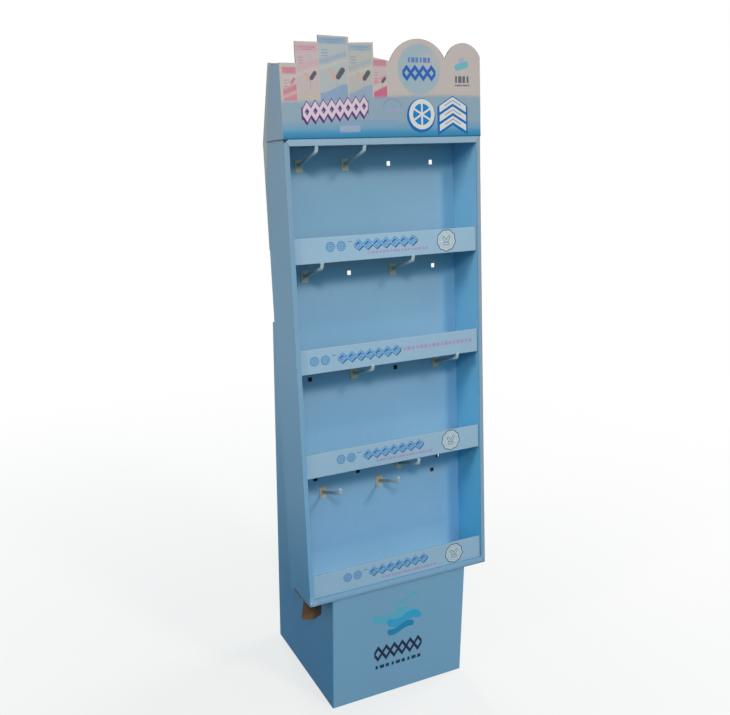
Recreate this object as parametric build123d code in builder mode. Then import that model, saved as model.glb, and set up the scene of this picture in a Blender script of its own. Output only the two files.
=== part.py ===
from build123d import *
import os
from math import atan2, cos, degrees, hypot, radians, sin, tan

# A floor display stand of folded corrugated board, in millimetres. A shallow tray with four
# bays leans back on a narrower base. A column behind the tray grows out of the same wrap as
# the base. Plastic hooks plug into square holes in the tray's peg panel, and a die-cut header
# card with side wings stands on the tray.
# +Z is up and the tray faces -Y. The origin is on the floor, under the middle of the stand.

os.makedirs("parts", exist_ok=True)

# Board and fits
board = 3.0                 # corrugated board of the base, tray and shelves
card = 3.0                  # board of the header card
grey_board = 2.0            # unprinted grey board behind the header
fold_radius = 1.2           # outside radius of a crease
fit_gap = 0.3               # clearance beside a piece that slides in
slot_gap = 0.4              # clearance round a tab in its slot
corner_relief = 1.0         # opening where two turned flanges meet

# Tray
tray_width = 500.0
tray_length = 1085.0        # along the leaning front
tray_depth = 128.0          # from the front strips to the rear rim
tray_tilt = 6.0             # degrees that the front leans back
tray_height = 313.0         # of the bottom front edge above the floor
tray_lead = 5.0             # bottom front edge ahead of the base
side_wall = 10.8            # rolled side wall, outside to inside
top_wall = 13.5
bottom_wall = 15.4
rear_rim = 34.0             # flange turned in round the open back
roll_slit = 1.0             # between the rolled inner wall's edge and the rear rim
mitre_slit = 0.8            # open joint between two front strips
notch_width = 8.0           # crushed corner at the top left
notch_height = 6.0
notch_depth = 9.0

# Torn corner at the tray's bottom left
tear_start = 40.0           # behind the front
tear_end = 98.0
tear_rise = 5.5             # of the tear over its length
tear_gape = 2.5
flap_back = 55.0            # hinge line of the hanging flap, behind the front
flap_top_width = 45.0
flap_drop = 57.0
flap_lean = 8.0             # of its lower corner towards the outside
flap_inset = 6.0            # of its upper corner from the tray's side
flap_point = 66.0           # lowest point below the hinge line
flap_point_in = 31.5        # lowest point, in from the lower corner
flap_corner_radius = 5.0

# Base and column
base_width = 379.0
base_depth = 365.0
base_corner_radius = 3.0
column_gap = 214.0          # column's top, below the lower end of the grey board
tuck_length = 40.0          # flaps tucked down inside the base
seat_tab_length = 40.0
seat_tab_height = 9.0
seat_tab_back = 64.0        # middle of the tab, behind the tray's front
floor_flange = 55.0
brace_back = 64.0           # cross brace, behind the base's front
brace_top_gap = 0.3

# Peg panel
peg_depth = 107.0           # its face behind the tray's front
peg_hole = 10.6
peg_margin = 63.7           # outer holes of a row of four, in from the tray's inner wall
peg_drops = (40.5, 38.0, 35.0, 39.5)    # below each bay's ceiling
low_row_drop = 36.0         # fifth row, below the fourth
low_row_margin = 81.7       # outer holes of its three, in from the inner wall

# Shelves with rolled rails
rail_height = 57.3
rail_recess = 6.0           # behind the tray's front
rail_end_gap = 1.2
roll_gap = 0.6              # between the two layers of a rail
rail_drops = (212.0, 462.5, 710.5)      # tops of the upper rails, below the tray's top edge
ear_height = 40.0           # side flanges that are glued to the walls
ear_start = 16.0            # behind the tray's front
ear_rear_gap = 6.0
shelf_tab_width = 40.0
shelf_tab_reach = 8.0       # past the peg panel's face
shelf_tab_offset = 117.0

# Header: heights are above the tray's top edge
header_overhang = 2.0       # past the tray, at each side
wing_foot = 101.0           # depth of a wing at the tray
wing_head = 59.0            # depth of a wing at its top
wing_height = 157.0
header_flap = 70.0          # bottom flap that lies on the tray
risers = (                  # left and right side, height at each side
    (-214.5, -160.5, 201.0, 201.0),
    (-160.5, -88.0, 215.5, 213.3),
    (-88.0, -28.5, 201.6, 203.8),
    (-28.5, 12.0, 172.5, 165.5),
)
domes = (                   # centre across, centre height, radius
    (86.0, 134.7, 80.0),
    (205.0, 158.2, 50.5),
)
back_drop = 241.0           # grey board below the tray's top edge
back_head = 72.0            # its outside at the top, behind the tray's face
back_rise = 165.0
window_radius = 12.0        # corners of the opening between the legs
flange_gap = 0.4            # between the grey flange and a wing

# Hooks
plate_width = 18.0
plate_height = 28.0
plate_thickness = 2.4
plate_radius = 2.5
boss_width = 11.0
boss_height = 14.0
boss_thickness = 2.0
boss_taper = 20.0           # degrees
arm_width = 6.6
arm_height = 7.4
arm_bevel = 1.6
arm_reach = 104.0           # bend of the arm, ahead of the peg panel
arm_rise = 27.0
tip_height = 12.0
tip_lean = 4.0
arm_bend_radius = 6.0
tang = 9.8
barb = 0.7
barb_length = 3.0
barb_taper = 12.0           # degrees
lock_width = 22.0
lock_height = 26.0
lock_thickness = 3.5
lock_bevel = 3.0

# Worked out from the sizes above
lean = radians(tray_tilt)
base_front_y = -(base_depth - tray_lead) / 2
base_rear_y = base_front_y + base_depth
tray_front_y = base_front_y - tray_lead
half_tray = tray_width / 2
half_base = base_width / 2
half_header = half_tray + header_overhang
header_width = 2 * half_header
inner_half = half_tray - side_wall
ceiling = tray_length - top_wall
rear_rim_front = tray_depth - board
upper_rail_tops = [tray_length - drop for drop in rail_drops]
rail_tops = upper_rail_tops + [bottom_wall + rail_height]
shelf_width = 2 * (inner_half - fit_gap)
bay_ceilings = [ceiling] + [top - rail_height for top in upper_rail_tops]
peg_row_heights = [level - drop for level, drop in zip(bay_ceilings, peg_drops)]
low_row_height = peg_row_heights[-1] - low_row_drop
peg_outer = inner_half - peg_margin
peg_columns = [-peg_outer, -peg_outer / 3, peg_outer / 3, peg_outer]
low_outer = inner_half - low_row_margin
low_columns = [-low_outer, 0, low_outer]
peg_holes = [(x, height) for height in peg_row_heights for x in peg_columns]
peg_holes += [(x, low_row_height) for x in low_columns]
first, second, third, fourth = peg_columns
hooked = (
    (first, peg_row_heights[0]),
    (second, peg_row_heights[0]),
    (first, peg_row_heights[1]),
    (third, peg_row_heights[1]),
    (second, peg_row_heights[2]),
    (fourth, peg_row_heights[2]),
    (third, peg_row_heights[3]),
    (low_columns[0], low_row_height),
    (low_columns[1], low_row_height),
)

# The tray's leaning face: local X is across, local Y runs up along it, local Z faces out
tray_face = Plane(
    origin=(0, tray_front_y, tray_height),
    x_dir=(1, 0, 0),
    z_dir=(0, -cos(lean), sin(lean)),
)
up_the_face = Axis(tray_face.origin, tray_face.y_dir)


def section(x):
    """A plane across the tray at x: local X runs back from its face and local Y up along it."""
    return Plane(
        origin=(x, tray_front_y, tray_height),
        x_dir=(0, cos(lean), -sin(lean)),
        z_dir=(1, 0, 0),
    )


def tray_point(along, back):
    """World Y and Z of a point on the tray, up along its face and back from it."""
    y = tray_front_y + along * sin(lean) + back * cos(lean)
    z = tray_height + along * cos(lean) - back * sin(lean)
    return (y, z)


def seat_level(y):
    """Height of the sloping seat at world y."""
    return tray_height - (y - tray_front_y) * tan(lean)


# The boot-shaped side of the base: seat under the tray, column front along the tray's back
seat_rear = tray_point(0, tray_depth)
back_start = tray_length - back_drop
column_height = tray_point(back_start, tray_depth)[1] - column_gap
column_rise = (column_height - seat_rear[1]) / cos(lean)
column_front_top = tray_point(column_rise, tray_depth)
boot = [
    (base_front_y, 0),
    (base_rear_y, 0),
    (base_rear_y, column_height),
    column_front_top,
    seat_rear,
    (base_front_y, seat_level(base_front_y)),
]

# Base body: front, two boot-shaped sides and the tall rear, one sheet wrapped round
with BuildPart() as base_body:
    with BuildSketch(Plane.YZ.offset(-half_base)):
        with BuildLine():
            Polyline(*boot, close=True)
        make_face()
    extrude(amount=base_width)
    upright = base_body.edges().filter_by(Axis.Z)
    fillet(upright.group_by(Axis.Y)[0] + upright.group_by(Axis.Y)[-1], radius=base_corner_radius)
    with BuildSketch(Plane.XY):
        with Locations((0, (base_front_y + base_rear_y) / 2)):
            Rectangle(base_width - 2 * board, base_depth - 2 * board)
    extrude(amount=column_height, mode=Mode.SUBTRACT)
    # Tabs on the side panels that enter the tray's bottom
    for x in (-half_base, half_base - board):
        with BuildSketch(section(x)):
            with Locations((seat_tab_back, (seat_tab_height - board) / 2)):
                Rectangle(seat_tab_length, seat_tab_height + board)
        extrude(amount=board)
base_body.part.label = "base_body"
export_step(base_body.part, "parts/base_body.step")

# Seat sheet: tuck, seat, column front, lid and rear tuck, folded from one strip
seat_front_y = base_front_y + board
seat_back_y = base_rear_y - board
seat_width = base_width - 2 * board - 2 * fit_gap
with BuildPart() as base_seat:
    with BuildSketch(Plane.YZ.offset(-seat_width / 2)):
        with BuildLine():
            Polyline(
                (seat_front_y, 0),
                (seat_back_y, 0),
                (seat_back_y, column_height),
                column_front_top,
                seat_rear,
                (seat_front_y, seat_level(seat_front_y)),
                close=True,
            )
        make_face()
        offset(amount=-board, kind=Kind.INTERSECTION, mode=Mode.SUBTRACT)
        with BuildLine():
            Polyline(
                (seat_front_y, 0),
                (seat_back_y, 0),
                (seat_back_y, column_height - tuck_length),
                (seat_back_y - 2 * board, column_height - tuck_length),
                (seat_back_y - 2 * board, tuck_length),
                (seat_front_y + 2 * board, tuck_length),
                (seat_front_y + 2 * board, seat_level(seat_front_y) - tuck_length),
                (seat_front_y, seat_level(seat_front_y) - tuck_length),
                close=True,
            )
        make_face(mode=Mode.SUBTRACT)
    extrude(amount=seat_width)
base_seat.part.label = "base_seat"
export_step(base_seat.part, "parts/base_seat.step")

# Floor panel with four turned-up flanges, open at its corners
floor_width = base_width - 2 * board - 2 * fit_gap
floor_depth = base_depth - 2 * board - 2 * fit_gap
base_middle_y = (base_front_y + base_rear_y) / 2
with BuildPart() as base_floor:
    with BuildSketch(Plane.XY):
        with Locations((0, base_middle_y)):
            Rectangle(floor_width, floor_depth)
    extrude(amount=floor_flange)
    with BuildSketch(Plane.XY.offset(board)):
        with Locations((0, base_middle_y)):
            Rectangle(floor_width - 2 * board, floor_depth - 2 * board)
    extrude(amount=floor_flange, mode=Mode.SUBTRACT)
    with BuildSketch(Plane.XY.offset(board)):
        with Locations((0, base_middle_y)):
            with GridLocations(floor_width - board, floor_depth - board, 2, 2):
                Rectangle(board + corner_relief, board + corner_relief)
    extrude(amount=floor_flange, mode=Mode.SUBTRACT)
base_floor.part.label = "base_floor"
export_step(base_floor.part, "parts/base_floor.step")

# Two braces that lap into each other under the seat
brace_front_y = seat_front_y + fit_gap + board + fit_gap
brace_rear_y = seat_back_y - fit_gap - board - fit_gap
brace_bottom = board
cross_y = base_front_y + brace_back
brace_lap = (brace_bottom + seat_level(cross_y) - board / cos(lean)) / 2
column_foot_top = seat_level(seat_rear[0]) - board / cos(lean) - brace_top_gap
brace_slot = board + 2 * slot_gap


def brace_top(y):
    """Underside of the seat at world y, less the brace's clearance."""
    return seat_level(y) - board / cos(lean) - brace_top_gap


with BuildPart() as brace_long:
    with BuildSketch(Plane.YZ.offset(-board / 2)):
        with BuildLine():
            Polyline(
                (brace_front_y, brace_bottom),
                (brace_rear_y, brace_bottom),
                (brace_rear_y, column_foot_top),
                (seat_rear[0], column_foot_top),
                (brace_front_y, brace_top(brace_front_y)),
                close=True,
            )
        make_face()
        with Locations((cross_y, brace_lap + tray_height / 2)):
            Rectangle(brace_slot, tray_height, mode=Mode.SUBTRACT)
    extrude(amount=board)
brace_long.part.label = "brace_long"
export_step(brace_long.part, "parts/brace_long.step")

brace_cross_width = base_width - 4 * board - 4 * fit_gap
with BuildPart() as brace_cross:
    with BuildSketch(Plane.XZ.offset(-(cross_y + board / 2))):
        with Locations((0, (brace_bottom + brace_top(cross_y + board / 2)) / 2)):
            Rectangle(brace_cross_width, brace_top(cross_y + board / 2) - brace_bottom)
        with Locations((0, brace_lap / 2)):
            Rectangle(brace_slot, brace_lap, mode=Mode.SUBTRACT)
    extrude(amount=board)
brace_cross.part.label = "brace_cross"
export_step(brace_cross.part, "parts/brace_cross.step")

# Tray shell: outer walls, front strips, rolled inner walls and rear rim
cavity_length = ceiling - bottom_wall
cavity_middle = (ceiling + bottom_wall) / 2
channel_depth = rear_rim_front - board
with BuildPart() as tray_shell:
    with BuildSketch(tray_face):
        with Locations((0, tray_length / 2)):
            Rectangle(tray_width, tray_length)
    extrude(amount=-tray_depth)
    fillet(tray_shell.edges().filter_by(up_the_face), radius=fold_radius)
    # Bays, cut as far as the rear rim
    with BuildSketch(tray_face):
        with Locations((0, cavity_middle)):
            Rectangle(2 * inner_half, cavity_length)
    extrude(amount=-rear_rim_front, mode=Mode.SUBTRACT)
    # Hollow between outer wall and rolled inner wall
    with BuildSketch(tray_face.offset(-board)):
        with Locations((0, tray_length / 2)):
            Rectangle(tray_width - 2 * board, tray_length - 2 * board)
        with Locations((0, cavity_middle)):
            Rectangle(2 * inner_half + 2 * board, cavity_length + 2 * board, mode=Mode.SUBTRACT)
    extrude(amount=-channel_depth, mode=Mode.SUBTRACT)
    # The inner walls end just short of the rim
    with BuildSketch(tray_face.offset(-rear_rim_front)):
        with Locations((0, tray_length / 2)):
            Rectangle(tray_width - 2 * board, tray_length - 2 * board)
    extrude(amount=roll_slit, mode=Mode.SUBTRACT)
    # Open back inside the rim
    with BuildSketch(tray_face.offset(-tray_depth)):
        with Locations((0, tray_length / 2)):
            Rectangle(tray_width - 2 * rear_rim, tray_length - 2 * rear_rim)
    extrude(amount=board, mode=Mode.SUBTRACT)
    # Mitred joints of the front strips
    with BuildSketch(tray_face):
        for side in (-1, 1):
            for outer, inner in ((0, bottom_wall), (tray_length, ceiling)):
                rise = inner - outer
                slant = degrees(atan2(rise, -side * side_wall))
                with Locations((side * (half_tray - side_wall / 2), outer + rise / 2)):
                    Rectangle(hypot(side_wall, rise) + board, mitre_slit, rotation=slant)
    extrude(amount=-board, mode=Mode.SUBTRACT)
    # Crushed corner at the top left
    with BuildSketch(tray_face):
        with BuildLine():
            Polyline(
                (-half_tray, tray_length),
                (-half_tray, tray_length - notch_height),
                (-half_tray + notch_width, tray_length),
                close=True,
            )
        make_face()
    extrude(amount=-notch_depth, mode=Mode.SUBTRACT)
    # Slots in the bottom for the tabs of the base
    with BuildSketch(Plane(origin=tray_face.origin, x_dir=(1, 0, 0), z_dir=tray_face.y_dir)):
        for side in (-1, 1):
            with Locations((side * (half_base - board / 2), seat_tab_back)):
                Rectangle(board + 2 * slot_gap, seat_tab_length + 2 * slot_gap)
    extrude(amount=board, mode=Mode.SUBTRACT)
    # Torn slit in the left side and the flap that hangs out below it
    with BuildSketch(section(-half_tray)):
        with BuildLine():
            Polyline(
                (tear_start, -tear_gape),
                (tear_end, tear_rise),
                (tear_end, tear_rise + tear_gape),
                (tear_start, tear_gape / 2),
                close=True,
            )
        make_face()
    extrude(amount=board, mode=Mode.SUBTRACT)
    flap_y, flap_z = tray_point(0, flap_back)
    flap_left = -half_tray + flap_inset
    with BuildSketch(Plane(origin=(0, flap_y, flap_z), x_dir=(1, 0, 0), z_dir=(0, -1, 0))):
        with BuildLine():
            FilletPolyline(
                (flap_left, board / 2),
                (flap_left - flap_lean, -flap_drop),
                (flap_left - flap_lean + flap_point_in, -flap_point),
                (flap_left + flap_top_width, -flap_drop),
                (flap_left + flap_top_width, board / 2),
                radius=flap_corner_radius,
            )
            Line((flap_left + flap_top_width, board / 2), (flap_left, board / 2))
        make_face()
    extrude(amount=board)
tray_shell.part.label = "tray_shell"
export_step(tray_shell.part, "parts/tray_shell.step")

# Peg panel: false back with square holes, held off the rear rim by four turned-back flanges
panel_width = 2 * (inner_half - fit_gap)
panel_length = cavity_length - 2 * fit_gap
panel_box = rear_rim_front - peg_depth
with BuildPart() as peg_panel:
    with BuildSketch(tray_face.offset(-peg_depth)):
        with Locations((0, cavity_middle)):
            Rectangle(panel_width, panel_length)
    extrude(amount=-panel_box)
    with BuildSketch(tray_face.offset(-peg_depth - board)):
        with Locations((0, cavity_middle)):
            Rectangle(panel_width - 2 * board, panel_length - 2 * board)
            with GridLocations(panel_width - board, panel_length - board, 2, 2):
                Rectangle(board + corner_relief, board + corner_relief)
    extrude(amount=-panel_box, mode=Mode.SUBTRACT)
    with BuildSketch(tray_face.offset(-peg_depth)):
        with Locations(*peg_holes):
            Rectangle(peg_hole, peg_hole)
        for top in upper_rail_tops:
            for side in (-1, 1):
                with Locations((side * shelf_tab_offset, top - rail_height + board / 2)):
                    Rectangle(shelf_tab_width + 2 * slot_gap, board + 2 * slot_gap)
    extrude(amount=-board, mode=Mode.SUBTRACT)
peg_panel.part.label = "peg_panel"
export_step(peg_panel.part, "parts/peg_panel.step")

# Shelves: floor, rolled front rail, two side ears, and on the upper ones tabs through the peg panel
rail_thickness = 2 * board + roll_gap
shelf_rear = peg_depth - fit_gap
ear_end = shelf_rear - ear_rear_gap
low_corner = (Align.MIN, Align.MIN)
for number, top in enumerate(rail_tops, 1):
    bottom = top - rail_height
    with BuildPart() as shelf:
        with BuildSketch(section(-shelf_width / 2)) as profile:
            with Locations((rail_recess, bottom)):
                Rectangle(rail_thickness, rail_height, align=low_corner)
                Rectangle(shelf_rear - rail_recess, board, align=low_corner)
            fillet(profile.vertices().group_by(Axis.Y)[-1], radius=fold_radius)
            fillet(profile.vertices().group_by(Axis.X)[0].sort_by(Axis.Y)[0], radius=fold_radius)
            with Locations((rail_recess + board, bottom + board)):
                Rectangle(roll_gap, rail_height - 2 * board, align=low_corner, mode=Mode.SUBTRACT)
                Rectangle(board + roll_gap, roll_gap, align=low_corner, mode=Mode.SUBTRACT)
        extrude(amount=shelf_width)
        # The rail stops short of the walls
        for end in (-1, 1):
            with BuildSketch(section(end * shelf_width / 2)):
                with Locations((rail_recess, bottom)):
                    Rectangle(rail_thickness, rail_height, align=low_corner)
            extrude(amount=-end * rail_end_gap, mode=Mode.SUBTRACT)
        for end in (-1, 1):
            with BuildSketch(section(end * shelf_width / 2)):
                with Locations((ear_start, bottom)):
                    Rectangle(ear_end - ear_start, ear_height, align=low_corner)
            extrude(amount=-end * board)
        # The lowest shelf lies on the tray's bottom and needs no tabs
        if top in upper_rail_tops:
            with BuildSketch(tray_face.offset(-peg_depth - shelf_tab_reach)):
                for side in (-1, 1):
                    with Locations((side * shelf_tab_offset, bottom + board / 2)):
                        Rectangle(shelf_tab_width, board)
            extrude(amount=shelf_tab_reach + board)
    shelf.part.label = f"shelf_{number}"
    export_step(shelf.part, f"parts/shelf_{number}.step")

# Header card: die-cut front, two tapering wings and a bottom flap, folded from one sheet
with BuildPart() as header_card:
    with BuildSketch(tray_face):
        with Locations((0, tray_length)):
            Rectangle(header_width, wing_height, align=(Align.CENTER, Align.MIN))
        for left, right, left_height, right_height in risers:
            with BuildLine():
                Polyline(
                    (left, tray_length),
                    (right, tray_length),
                    (right, tray_length + right_height),
                    (left, tray_length + left_height),
                    close=True,
                )
            make_face()
        for centre, height, radius in domes:
            with Locations((centre, tray_length + height)):
                Circle(radius)
        with Locations((0, tray_length)):
            Rectangle(header_width, 2 * wing_height, align=(Align.CENTER, Align.MIN), mode=Mode.INTERSECT)
    extrude(amount=-card)
    for side in (-1, 1):
        with BuildSketch(section(side * half_header)):
            with BuildLine():
                Polyline(
                    (0, tray_length),
                    (wing_foot, tray_length),
                    (wing_head, tray_length + wing_height),
                    (0, tray_length + wing_height),
                    close=True,
                )
            make_face()
        extrude(amount=-side * card)
    with BuildSketch(section(-half_header)):
        with Locations((0, tray_length)):
            Rectangle(header_flap, card, align=low_corner)
    extrude(amount=header_width)
    # The folds of the wings are the longest edges up each side
    sides = header_card.edges().filter_by(up_the_face).group_by(Axis.X)
    wing_folds = [side.sort_by(SortBy.LENGTH)[-1] for side in (sides[0], sides[-1])]
    fillet(wing_folds, radius=fold_radius)
header_card.part.label = "header_card"
export_step(header_card.part, "parts/header_card.step")

# Grey board behind the header: leans in to the wings' heads, on two legs down the tray's rear rim
back_foot = tray_depth + grey_board
back_lean = atan2(back_foot - back_head, back_rise)
back_inner = grey_board / cos(back_lean)
window_height = back_drop - rear_rim
back_top = tray_length + back_rise
with BuildPart() as header_back:
    with BuildSketch(section(-half_tray)):
        with BuildLine():
            Polyline(
                (tray_depth, back_start),
                (back_foot, back_start),
                (back_foot, tray_length),
                (back_head, back_top),
                (back_head - back_inner, back_top),
                (tray_depth, tray_length),
                close=True,
            )
        make_face()
    extrude(amount=tray_width)
    # The tray's back stays open between the legs, which cover its rear rim
    with BuildSketch(tray_face.offset(-tray_depth)) as window:
        with Locations((0, back_start)):
            Rectangle(tray_width - 2 * rear_rim, window_height, align=(Align.CENTER, Align.MIN))
        fillet(window.vertices().group_by(Axis.Y)[-1], radius=window_radius)
    extrude(amount=-grey_board, mode=Mode.SUBTRACT)
    # Side flanges stand on the tray's walls and reach forward to the wings
    for side in (-1, 1):
        with BuildSketch(section(side * half_tray)):
            with BuildLine():
                Polyline(
                    (wing_foot + flange_gap, tray_length),
                    (back_foot, tray_length),
                    (back_head, back_top),
                    (wing_head + flange_gap, back_top),
                    (wing_head + flange_gap, tray_length + wing_height),
                    close=True,
                )
            make_face()
        extrude(amount=-side * grey_board)
header_back.part.label = "header_back"
export_step(header_back.part, "parts/header_back.step")

# Hooks: plate and boss on the peg panel, rising arm with a turned-up tip, barbed tang behind
plate_face = peg_depth - plate_thickness
tang_length = board + lock_thickness + barb_length + 2 * fit_gap
for number, (x, height) in enumerate(hooked, 1):
    with BuildPart() as hook:
        with BuildSketch(tray_face.offset(-peg_depth)):
            with Locations((x, height)):
                RectangleRounded(plate_width, plate_height, plate_radius)
        extrude(amount=plate_thickness)
        with BuildSketch(tray_face.offset(-plate_face)):
            with Locations((x, height)):
                Rectangle(boss_width, boss_height)
        extrude(amount=boss_thickness, taper=boss_taper)
        with BuildLine(section(x)) as route:
            FilletPolyline(
                (plate_face, height),
                (peg_depth - arm_reach, height + arm_rise),
                (peg_depth - arm_reach - tip_lean, height + arm_rise + tip_height),
                radius=arm_bend_radius,
            )
        with BuildSketch(Plane(origin=route.line @ 0, x_dir=(1, 0, 0), z_dir=route.line % 0)) as arm:
            Rectangle(arm_width, arm_height)
            chamfer(arm.vertices(), length=arm_bevel)
        sweep()
        with BuildSketch(tray_face.offset(-peg_depth)):
            with Locations((x, height)):
                Rectangle(tang, tang)
        extrude(amount=-tang_length)
        with BuildSketch(tray_face.offset(-(peg_depth + tang_length - barb_length))):
            with Locations((x, height)):
                Rectangle(tang + 2 * barb, tang)
        extrude(amount=-barb_length, taper=barb_taper)
    hook.part.label = f"hook_{number}"
    export_step(hook.part, f"parts/hook_{number}.step")

# Locks: one square ring snapped over each tang, behind the peg panel
with BuildPart() as hook_locks:
    with BuildSketch(tray_face.offset(-(peg_depth + board + fit_gap))) as lock:
        with Locations(*hooked):
            Rectangle(lock_width, lock_height)
        chamfer(lock.vertices(), length=lock_bevel)
        with Locations(*hooked):
            Rectangle(tang + 2 * fit_gap, tang + 2 * fit_gap, mode=Mode.SUBTRACT)
    extrude(amount=-lock_thickness)
hook_locks.part.label = "hook_locks"
export_step(hook_locks.part, "parts/hook_locks.step")
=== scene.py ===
# The looks of a cardboard display stand: printed board, raw edges, moulded hooks and a pale studio
import math
import bpy
from mathutils import Matrix, Vector


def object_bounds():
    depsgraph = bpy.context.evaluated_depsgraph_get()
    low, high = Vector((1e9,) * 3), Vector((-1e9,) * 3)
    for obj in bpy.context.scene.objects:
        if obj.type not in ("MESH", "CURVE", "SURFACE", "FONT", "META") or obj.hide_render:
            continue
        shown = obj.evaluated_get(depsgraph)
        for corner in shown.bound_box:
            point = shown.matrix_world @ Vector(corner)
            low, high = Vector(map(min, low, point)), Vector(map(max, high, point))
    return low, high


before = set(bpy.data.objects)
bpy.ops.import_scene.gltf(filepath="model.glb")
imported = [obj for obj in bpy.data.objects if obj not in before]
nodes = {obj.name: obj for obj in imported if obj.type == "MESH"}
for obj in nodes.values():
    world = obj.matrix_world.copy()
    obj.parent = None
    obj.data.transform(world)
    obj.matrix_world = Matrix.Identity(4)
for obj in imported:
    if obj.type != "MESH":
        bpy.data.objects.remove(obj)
cad_low, cad_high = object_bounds()

# Sizes in metres. The tray's plane is measured across, up along its face and back from it
mm = 0.001
board = 3.0 * mm
flute_pitch = 6.5 * mm
tray_foot = 313 * mm
tray_tilt = math.radians(6.0)
tray_front = Vector((0, cad_low.y, tray_foot))
along_direction = Vector((0, math.sin(tray_tilt), math.cos(tray_tilt)))
back_direction = Vector((0, math.cos(tray_tilt), -math.sin(tray_tilt)))
half_tray = 250 * mm
tray_length = 1085 * mm
tray_depth = 128 * mm
peg_depth = 107 * mm
rail_height = 57.3 * mm
rail_recess = 6 * mm
rail_thickness = 8 * mm
rail_tops = (873 * mm, 622.5 * mm, 374.5 * mm, 72.7 * mm)
header_overhang = 2 * mm
wing_height = 157 * mm
base_front = -180 * mm
crisp = 0.5 * mm              # the blur at the edge of a printed shape


def srgb(red, green, blue):
    """A colour as it is seen, 0 to 255, as the linear colour that the shaders take."""
    def linear(c):
        c /= 255
        return c / 12.92 if c <= 0.04045 else ((c + 0.055) / 1.055) ** 2.4
    return (linear(red), linear(green), linear(blue), 1.0)


# Inks of the large fields, and colours of painted light and shade laid on them: paler bay feet,
# bluer inner walls and panel edge, deeper sides and a darker foot fold. The tray's blue is greyer at
# its head and cleaner at its foot
blue_high = srgb(121, 147, 167)
blue_low = srgb(115, 160, 193)
panel_high = srgb(131, 165, 188)
panel_low = srgb(131, 171, 205)
# painted light: the pale colour laid at the foot of each bay
panel_foot_light = srgb(154, 202, 230)
# painted reflected light from the right wall onto the panel
wall_reflection_high = srgb(124, 177, 208)
wall_reflection_low = srgb(124, 184, 226)
# painted reflected light inside the tray, on its inner walls and the shelves' ears
inner_reflected_high = srgb(126, 180, 214)
inner_reflected_low = srgb(90, 180, 224)
base_blue = srgb(123, 160, 187)
# painted shade: a deeper blue for the outer sides towards the floor
side_shade_blue = srgb(76, 138, 178)
head_strip = srgb(140, 161, 180)
foot_strip = srgb(133, 164, 192)
# painted shade along the fold at the tray's foot
foot_fold_shade = srgb(104, 137, 166)
rail_ink = srgb(149, 173, 193)
white_ink = srgb(182, 166, 161)
band_light = srgb(135, 151, 164)
band_mid = srgb(84, 140, 174)
band_deep = srgb(26, 112, 152)
wing_blue = srgb(128, 147, 166)

# Bare board, wear and plastic, and painted shade: in the notch, around the tear, on the flap, in the flute
# hollows and at the hooks' roots
kraft_brown = srgb(150, 114, 80)
kraft_dark_and_hollow_shade = srgb(88, 62, 42)
worn_white = srgb(192, 200, 206)
worn_brown = srgb(122, 108, 98)
worn_grey = srgb(145, 154, 163)
foot_edge_brown = srgb(104, 98, 92)
grey_liner = srgb(156, 160, 160)
grey_fleck = srgb(186, 184, 176)
notch_shade = srgb(34, 40, 48)
tear_shade = srgb(74, 96, 116)
flap_brown = srgb(92, 56, 32)
flap_shadow = srgb(50, 52, 52)
hook_white = srgb(168, 184, 192)
hook_root_shade = srgb(136, 156, 164)
hook_tan = srgb(194, 180, 152)

# Sockets of a mix node that carry a number in and colours through
mix_factor, mix_first, mix_second, mix_result = 0, 6, 7, 2


class Number:
    """A number that varies over a surface: one socket, with arithmetic that adds nodes."""

    def __init__(self, tree, socket):
        self.tree = tree
        self.socket = socket

    def math(self, operation, *others, clamp=False):
        node = self.tree.nodes.new("ShaderNodeMath")
        node.operation = operation
        node.use_clamp = clamp
        for entry, value in zip(node.inputs, (self, *others)):
            feed(self.tree, value, entry)
        return Number(self.tree, node.outputs[0])

    def __add__(self, other):
        return self.math("ADD", other)

    def __sub__(self, other):
        return self.math("SUBTRACT", other)

    def __mul__(self, other):
        return self.math("MULTIPLY", other)

    def __abs__(self):
        return self.math("ABSOLUTE")

    def least(self, other):
        return self.math("MINIMUM", other)

    def most(self, other):
        return self.math("MAXIMUM", other)

    def inverse(self):
        """One minus this number."""
        return self * -1 + 1

    def above(self, level, blur):
        """0 below a level, 1 above it, over a blurred step."""
        return self.math("MULTIPLY_ADD", 1 / blur, 0.5 - level / blur, clamp=True)

    def below(self, level, blur):
        """1 below a level, 0 above it, over a blurred step."""
        return self.math("MULTIPLY_ADD", -1 / blur, 0.5 + level / blur, clamp=True)

    def wave(self, pitch):
        """A sine of this length, from -1 to 1."""
        return (self * (2 * math.pi / pitch)).math("SINE")


def feed(tree, value, entry):
    """Links a number or a socket into an entry, or sets the entry to a plain value."""
    if isinstance(value, Number):
        tree.links.new(value.socket, entry)
    elif isinstance(value, bpy.types.NodeSocket):
        tree.links.new(value, entry)
    else:
        entry.default_value = value


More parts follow.
